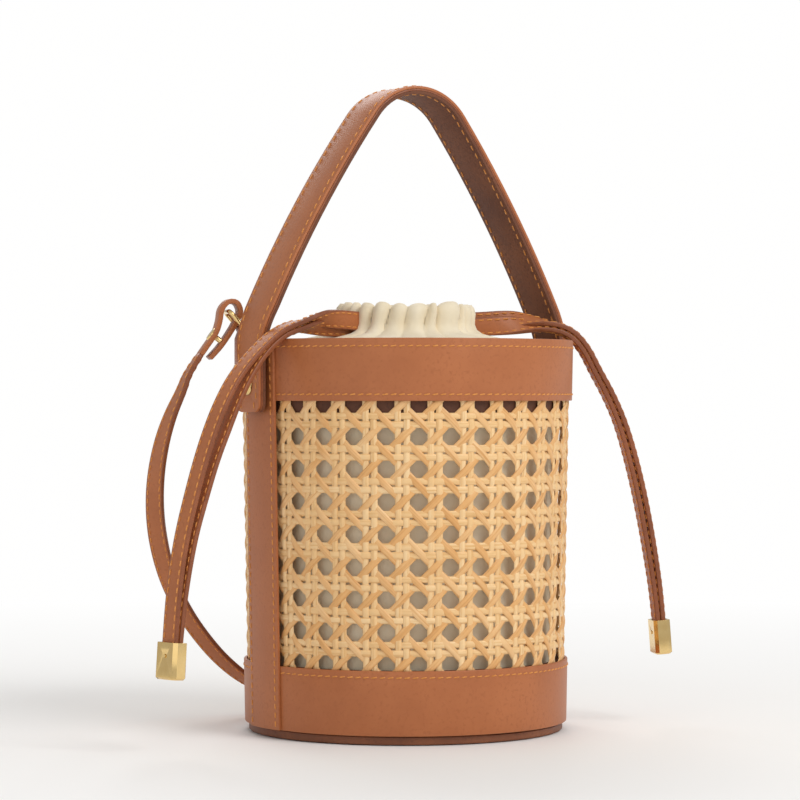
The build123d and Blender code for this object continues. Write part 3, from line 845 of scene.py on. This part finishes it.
# %% Turn the strands into a piece
def weave_piece(name, store, material):
    """Make one piece of a set of strands, with the tone and the place along each strand."""
    verts, faces, tone, along = store
    obj = mesh_piece(name, verts, faces)
    attribute = obj.data.attributes.new("tone", "FLOAT", "POINT")
    attribute.data.foreach_set("value", tone)
    attribute = obj.data.attributes.new("along", "FLOAT_VECTOR", "POINT")
    attribute.data.foreach_set("vector", [value for place in along for value in place])
    only(obj)
    bpy.ops.object.mode_set(mode="EDIT")
    bpy.ops.mesh.select_all(action="SELECT")
    bpy.ops.mesh.normals_make_consistent(inside=False)
    bpy.ops.object.mode_set(mode="OBJECT")
    smooth(obj, 50)
    return finish_piece(obj, material, replaces=["cane_front", "cane_back"])


V_START = (CANE_BOTTOM - FIRST_HOLE_HEIGHT) / MESH_PITCH + 0.5
V_END = (CANE_TOP - FIRST_HOLE_HEIGHT) / MESH_PITCH + 0.5
rows = round((V_END - V_START) * STEPS_PER_MESH)
heights = [V_START + (V_END - V_START) * i / rows for i in range(rows + 1)]


def wander(size=0.012):
    """Return a slow sideways drift, as hand-woven strands have."""
    shift, speed = weave_random.uniform(0, 6), weave_random.uniform(0.5, 1.1)
    return lambda t: size * math.sin(shift + speed * t)


# %% Strands that run up
upright = ([], [], [], [])
for column in range(MESH_ROUND):
    for side in (-1, 1):
        drift = wander()
        add_strand(
            upright,
            [(column + side * PAIR_OFFSET + drift(v), v, -side * STRAIGHT_LIFT * pair_wave(v))
             for v in heights],
            weave_random.uniform(1.35, 1.6),
        )
weave_piece("cane_upright", upright, cane_straight)

# %% Strands that run round
level = ([], [], [], [])
turns = [i / 8 for i in range(MESH_ROUND * 8)]
for row in range(math.floor(V_START), math.floor(V_END) + 1):
    for side in (-1, 1):
        height_now = row + side * PAIR_OFFSET
        if not V_START + 0.05 < height_now < V_END - 0.05:
            continue
        add_strand(
            level, [(u, height_now, side * STRAIGHT_LIFT * pair_wave(u)) for u in turns],
            weave_random.uniform(1.45, 1.7), closed=True,
        )
weave_piece("cane_level", level, cane_straight)

# %% Strands that run aslant
for name, lean, over in (("cane_slant_right", 1, -1), ("cane_slant_left", -1, 1)):
    slanted = ([], [], [], [])
    for column in range(MESH_ROUND):
        track = []
        drift = wander(0.02)
        for v in heights:
            u = column + 0.5 - lean * v
            track.append((u + drift(v), v, over * SLANTED_LIFT * math.cos(2 * math.pi * u)))
        add_strand(slanted, track, weave_random.uniform(1.5, 1.75))
    weave_piece(name, slanted, cane_slanted)

# %% [markdown]
# ## The cotton pouch
#
# The pouch is one sheet of cotton, sewn into a tube with a round foot. It lines the wall, comes in
# over the rim's level, and is gathered into a narrow neck by the straps in its casing. Cloth
# that is gathered lies in soft puffs with sharp valleys between them. No two puffs are alike. The
# sheet is made as a grid: a profile from the foot to the mouth, and round it a row of uneven folds
# whose depth grows towards the neck.

# %% Folds
fold_random = random.Random(23)
fold_edges = [0.0]
while fold_edges[-1] < 2 * math.pi - 0.14:
    fold_edges.append(fold_edges[-1] + fold_random.uniform(0.20, 0.36))
fold_edges = [edge * 2 * math.pi / fold_edges[-1] for edge in fold_edges]
fold_depths = [fold_random.uniform(0.65, 1.15) for _ in fold_edges]
fold_leans = [0.14 + fold_random.uniform(-0.09, 0.09) for _ in fold_edges]


def puff(turn, height_share):
    """Return how far a fold stands out at an angle, from 0 in a valley to about 1."""
    for k in range(len(fold_edges) - 1):
        low = fold_edges[k] + fold_leans[k] * height_share
        high = fold_edges[k + 1] + fold_leans[(k + 1) % (len(fold_edges) - 1)] * height_share
        place = (turn - low) % (2 * math.pi)
        if place < high - low:
            return fold_depths[k] * math.sin(math.pi * place / (high - low)) ** 0.55
    return 0.0


# radius, height, how deep the folds are outwards, and how deep upwards
POUCH_PROFILE = [
    (1.5, 7.0, 0, 0), (25.0, 7.0, 0, 0), (50.0, 7.0, 0, 0), (66.0, 7.0, 0, 0),
    (68.8, 7.8, 0, 0), (69.6, 10.0, 0, 0), (69.8, 30.0, 0.3, 0), (70.2, 60.0, 0.5, 0),
    (70.6, 90.0, 0.5, 0), (71.0, 120.0, 0.5, 0), (71.4, 150.0, 0.4, 0), (71.8, 168.0, 0.3, 0),
    (71.6, 174.0, 0.3, 0), (70.0, 177.6, 0.3, 0.3), (64.0, 180.2, 0, 1.0), (57.0, 182.6, 0, 1.8),
    (50.0, 184.6, 0.4, 2.4), (42.0, 186.2, 1.0, 2.2), (36.8, 187.8, 2.0, 1.0),
    (33.6, 190.0, 4.0, 0.2), (32.4, 192.5, 5.0, 0), (32.4, 195.0, 5.2, 0), (32.7, 197.4, 5.0, 0.8),
    (32.2, 199.6, 4.4, 2.0), (31.2, 201.0, 2.8, 3.2), (29.8, 201.0, 1.0, 3.2),
    (28.2, 199.6, -0.5, 1.2), (26.6, 197.0, -1.4, 0.3), (25.6, 193.5, -1.8, 0),
    (25.4, 189.0, -2.0, 0), (25.6, 186.5, -2.0, 0),
]

# %% Make the cloth
ROUND_STEPS = 480
verts = []
for radius, height, out_depth, up_depth in POUCH_PROFILE:
    share = max(0.0, (height - 176) / 25)
    for k in range(ROUND_STEPS):
        turn = 2 * math.pi * k / ROUND_STEPS
        fold = puff(turn, share) if out_depth or up_depth else 0
        wide = 0.35 * math.sin(5 * turn + radius) if height > 20 else 0
        r = radius + out_depth * (fold - 0.5) + (wide if height < 180 else 0)
        verts.append((
            r * math.cos(turn) * MM, r * math.sin(turn) * MM,
            (height + up_depth * (fold - 0.4)) * MM,
        ))
faces = []
for i in range(len(POUCH_PROFILE) - 1):
    for k in range(ROUND_STEPS):
        a = i * ROUND_STEPS + k
        b = i * ROUND_STEPS + (k + 1) % ROUND_STEPS
        faces.append((a, b, b + ROUND_STEPS, a + ROUND_STEPS))
middle = len(verts)
verts.append((0, 0, 7.0 * MM))
faces += [(middle, (k + 1) % ROUND_STEPS, k) for k in range(ROUND_STEPS)]
pouch = mesh_piece("cotton_pouch", verts, faces)
uv = pouch.data.uv_layers.new(name="cloth")
travel = [0.0]
for before, after in zip(POUCH_PROFILE, POUCH_PROFILE[1:]):
    travel.append(travel[-1] + math.hypot(after[0] - before[0], after[1] - before[1]) * MM)
for polygon in pouch.data.polygons:
    seam = any(pouch.data.loops[i].vertex_index % ROUND_STEPS == 0 for i in polygon.loop_indices)
    for i in polygon.loop_indices:
        v = pouch.data.loops[i].vertex_index
        row, column = (0, 0) if v == middle else divmod(v, ROUND_STEPS)
        if seam and column == 0 and any(
            pouch.data.loops[j].vertex_index % ROUND_STEPS == ROUND_STEPS - 1
            for j in polygon.loop_indices
        ):
            column = ROUND_STEPS
        uv.data[i].uv = (column / ROUND_STEPS * 0.452, travel[row])
outward(pouch)
modify(pouch, "SOLIDIFY", thickness=0.5 * MM, offset=-1)
smooth(pouch, 60)
finish_piece(pouch, cotton, replaces=["pouch_body", "pouch_collar"])

# %% The straps inside the casing
CASING_BOTTOM = 188.4
CASING_TOP = 196.6
CASING_STRAP_HALF = 0.7
for side, radius in (("left", 29.1), ("right", 27.5)):
    inner_r, outer_r = radius - CASING_STRAP_HALF, radius + CASING_STRAP_HALF
    profile = [
        (inner_r, CASING_BOTTOM), (outer_r, CASING_BOTTOM), (outer_r, CASING_TOP),
        (inner_r, CASING_TOP),
    ]
    loop = turned(f"casing_strap_{side}", profile, steps=96)
    modify(loop, "BEVEL", width=0.3 * MM, segments=2, limit_method="ANGLE",
           angle_limit=math.radians(50))
    smooth(loop)
    finish_piece(loop, tan, replaces=[f"drawstring_{side}_loop"])

# %% [markdown]
# ## Pieces that keep their CAD shape
#
# The handle's leathers, the ring tabs, the eyes and the end caps are right in the CAD model but
# for their sharp edges. A copy of the mesh is merged, its flat parts are joined, and a small bevel
# rounds its edges, so that they catch the light.


# %% Round the edges of a CAD shape
def softened(node, material, body="bag", width=0.3):
    """Replace a CAD node with a copy whose edges are rounded, and give it its finish."""
    obj = bpy.data.objects.new(node + "_rounded", nodes[node].data.copy())
    bpy.context.scene.collection.objects.link(obj)
    only(obj)
    bpy.ops.object.mode_set(mode="EDIT")
    bpy.ops.mesh.select_all(action="SELECT")
    bpy.ops.mesh.remove_doubles(threshold=2e-6)
    bpy.ops.mesh.customdata_custom_splitnormals_clear()
    bpy.ops.mesh.dissolve_limited(angle_limit=math.radians(0.6))
    bpy.ops.object.mode_set(mode="OBJECT")
    modify(obj, "BEVEL", width=width * MM, segments=2, limit_method="ANGLE",
           angle_limit=math.radians(48))
    smooth(obj)
    return finish_piece(obj, material, body, replaces=[node])


for node, material, width in (
    ("handle_outer", tan, 0.45), ("handle_lining", split, 0.4), ("handle_filler", edge_paint, 0.12),
):
    softened(node, material,
             "handle", width)
for side in ("left", "right"):
    softened(f"ring_tab_{side}", tan, width=0.3)
    softened(f"strap_eye_{side}", tan, width=0.35)
    softened(f"end_cap_{side}", gold, width=0.2)
    softened(f"strap_stud_{side}", gold, width=0.2)

for name, (piece, length, line) in tails.items():
    side = name.split("_")[1]

# %% [markdown]
# ## Finishes for the nodes that stay
#
# The sole, the board, the linings, the rivets and the rings keep their CAD meshes. They only get
# their material.

# %% Paint the CAD nodes
finishes = {
    "base_sole": tan_dark,
    "base_board": board,
    "lower_lining": lining,
    "upper_lining": lining,
}
for node in nodes:
    if "rivet" in node or "pins" in node or node in ("ring_left", "ring_right"):
        finishes[node] = gold
for node, material in finishes.items():
    nodes[node].data.materials.clear()
    nodes[node].data.materials.append(material)
for node, obj in nodes.items():
    if not obj.hide_render and node not in finishes:
        print("no finish yet:", node)

# %% [markdown]
# ## The handle's stitches
#
# The three layers of the handle are sewn together near both edges, and the thread shows on both
# faces. The handle's line is made of straight legs and arcs, so the places are found by walking
# along it.

# %% Walk along the handle
HANDLE_HALF_THICKNESS = 1.95
LEG_MIDDLE = wall(RIM) + STRIP_OUTER + 0.9 + HANDLE_HALF_THICKNESS
PIVOT_HEIGHT = 163.5
TAB_FOOT = PIVOT_HEIGHT - 12.5
HANDLE_TOP = RIM + 121.0
SHOULDER = (45.0, math.radians(25))
SIDE = (578.0, math.radians(11))
CROWN_TURN = math.radians(2 * (90 - 36))
end_turn = math.radians(36)
CROWN_RADIUS = (
    LEG_MIDDLE
    - SHOULDER[0] * (1 - math.cos(SHOULDER[1]))
    - SIDE[0] * (math.cos(SHOULDER[1]) - math.cos(end_turn))
) / math.cos(end_turn)
LEG_TOP = (
    HANDLE_TOP - HANDLE_HALF_THICKNESS
    - SHOULDER[0] * math.sin(SHOULDER[1])
    - SIDE[0] * (math.sin(end_turn) - math.sin(SHOULDER[1]))
    - CROWN_RADIUS * (1 - math.sin(end_turn))
)


def walk_handle(spacing):
    """Return points along the handle's middle, (x, z, direction x, direction z), left to right."""
    parts = [(None, LEG_TOP - TAB_FOOT), SHOULDER, SIDE, (CROWN_RADIUS, CROWN_TURN), SIDE,
             SHOULDER, (None, LEG_TOP - TAB_FOOT)]
    x, z, heading = -LEG_MIDDLE, TAB_FOOT, math.radians(90)
    left_over = 3.2
    out = []
    for radius, size in parts:
        length = size if radius is None else radius * size
        place = left_over
        while place <= length:
            if radius is None:
                px, pz, way = x + place * math.cos(heading), z + place * math.sin(heading), heading
            else:
                way = heading - place / radius
                cx, cz = x + radius * math.sin(heading), z - radius * math.cos(heading)
                px, pz = cx - radius * math.sin(way), cz + radius * math.cos(way)
            out.append((px, pz, math.cos(way), math.sin(way)))
            place += spacing
        left_over = place - length
        if radius is None:
            x, z = x + length * math.cos(heading), z + length * math.sin(heading)
        else:
            cx, cz = x + radius * math.sin(heading), z - radius * math.cos(heading)
            heading -= size
            x, z = cx - radius * math.sin(heading), cz + radius * math.cos(heading)
    return out


# %% Sew the handle
handle_places = []
handle_walk = walk_handle(4.5)
for x, z, dx, dz in handle_walk[:-1]:
    widening = min(max((z - (TAB_FOOT + 27)) / 22, 0), 1)
    edge = 10.5 + 2.0 * widening
    near_end = z - TAB_FOOT < 4
    out = Vector((-dz, 0, dx))
    direction = Vector((dx, 0, dz))
    for row in (-1, 1):
        for face_side in (-1, 1):
            centre = Vector((x, row * (edge - (4.2 if near_end else 2.3)), z))
            centre += out * face_side * HANDLE_HALF_THICKNESS
            slanted = (direction + Vector((0, 0.12, 0))).normalized()
            handle_places.append((centre * MM, slanted, out * face_side))
stitch_piece("handle_thread", handle_places, "handle", 3.3 * MM, 0.38 * MM)
print("handle line ends at", round(handle_walk[-1][0], 1), round(handle_walk[-1][1], 1))

# %% [markdown]
# ## Floor and light
#
# A pale floor and three large soft lights give the even light of a studio. The floor is broad
# enough to fill the lower part of the view, and it turns plain white with distance, like the sky.

# %% Floor
FLOOR_HEIGHT = -0.0004
FLOOR_HALF = 60.0
STUDIO_WHITE = (1.0, 0.998, 0.995, 1.0)
WHITE_STARTS = 0.25  # metres from the bag, where the lit floor begins to turn plain white
WHITE_FULL = 0.9
bpy.ops.mesh.primitive_plane_add(size=2 * FLOOR_HALF, location=(0, 0, FLOOR_HEIGHT))
floor = bpy.context.object
floor.name = "studio_floor"
only(floor)
floor_material, tree, links, shader = new_material("studio_floor")
shader.inputs["Base Color"].default_value = srgb(246, 245, 243)
shader.inputs["Roughness"].default_value = 0.8
from_middle = add(tree, "ShaderNodeVectorMath", operation="LENGTH")
links.new(add(tree, "ShaderNodeTexCoord").outputs["Object"], from_middle.inputs[0])
far = add(tree, "ShaderNodeMapRange")
far.inputs[1].default_value = WHITE_STARTS
far.inputs[2].default_value = WHITE_FULL
links.new(from_middle.outputs["Value"], far.inputs[0])
glow = add(tree, "ShaderNodeEmission", Color=STUDIO_WHITE)
blend = add(tree, "ShaderNodeMixShader")
links.new(far.outputs[0], blend.inputs[0])
links.new(shader.outputs[0], blend.inputs[1])
links.new(glow.outputs[0], blend.inputs[2])
links.new(blend.outputs[0], tree["Material Output"].inputs["Surface"])
floor.data.materials.append(floor_material)

# %% Lights
BAG_MIDDLE = Vector((0, 0, 0.12))
SKY_LIGHT = 0.55
SKY_SEEN = 1.0
world = bpy.context.scene.world or bpy.data.worlds.new("studio")
bpy.context.scene.world = world
world.use_nodes = True
world_nodes = world.node_tree.nodes
sky = world_nodes["Background"]
sky.inputs["Color"].default_value = STUDIO_WHITE
seen_or_light = add(world_nodes, "ShaderNodeMapRange")
seen_or_light.inputs[3].default_value = SKY_LIGHT
seen_or_light.inputs[4].default_value = SKY_SEEN
is_seen = add(world_nodes, "ShaderNodeLightPath").outputs["Is Camera Ray"]
world.node_tree.links.new(is_seen, seen_or_light.inputs[0])
world.node_tree.links.new(seen_or_light.outputs[0], sky.inputs["Strength"])


def soft_light(name, place, size, power):
    """Add a large square light that faces the bag's middle."""
    data = bpy.data.lights.new(name, "AREA")
    data.size = size
    data.energy = power
    light = bpy.data.objects.new(name, data)
    bpy.context.scene.collection.objects.link(light)
    light.location = place
    light.rotation_euler = (BAG_MIDDLE - light.location).to_track_quat("-Z", "Y").to_euler()


soft_light("key", (0.5, -1.6, 1.5), 1.1, 20.0)
soft_light("fill", (-1.5, -1.3, 1.1), 1.4, 4.0)
soft_light("back", (0.6, 1.6, 1.5), 1.3, 14.0)
bpy.context.scene.view_settings.view_transform = "Standard"
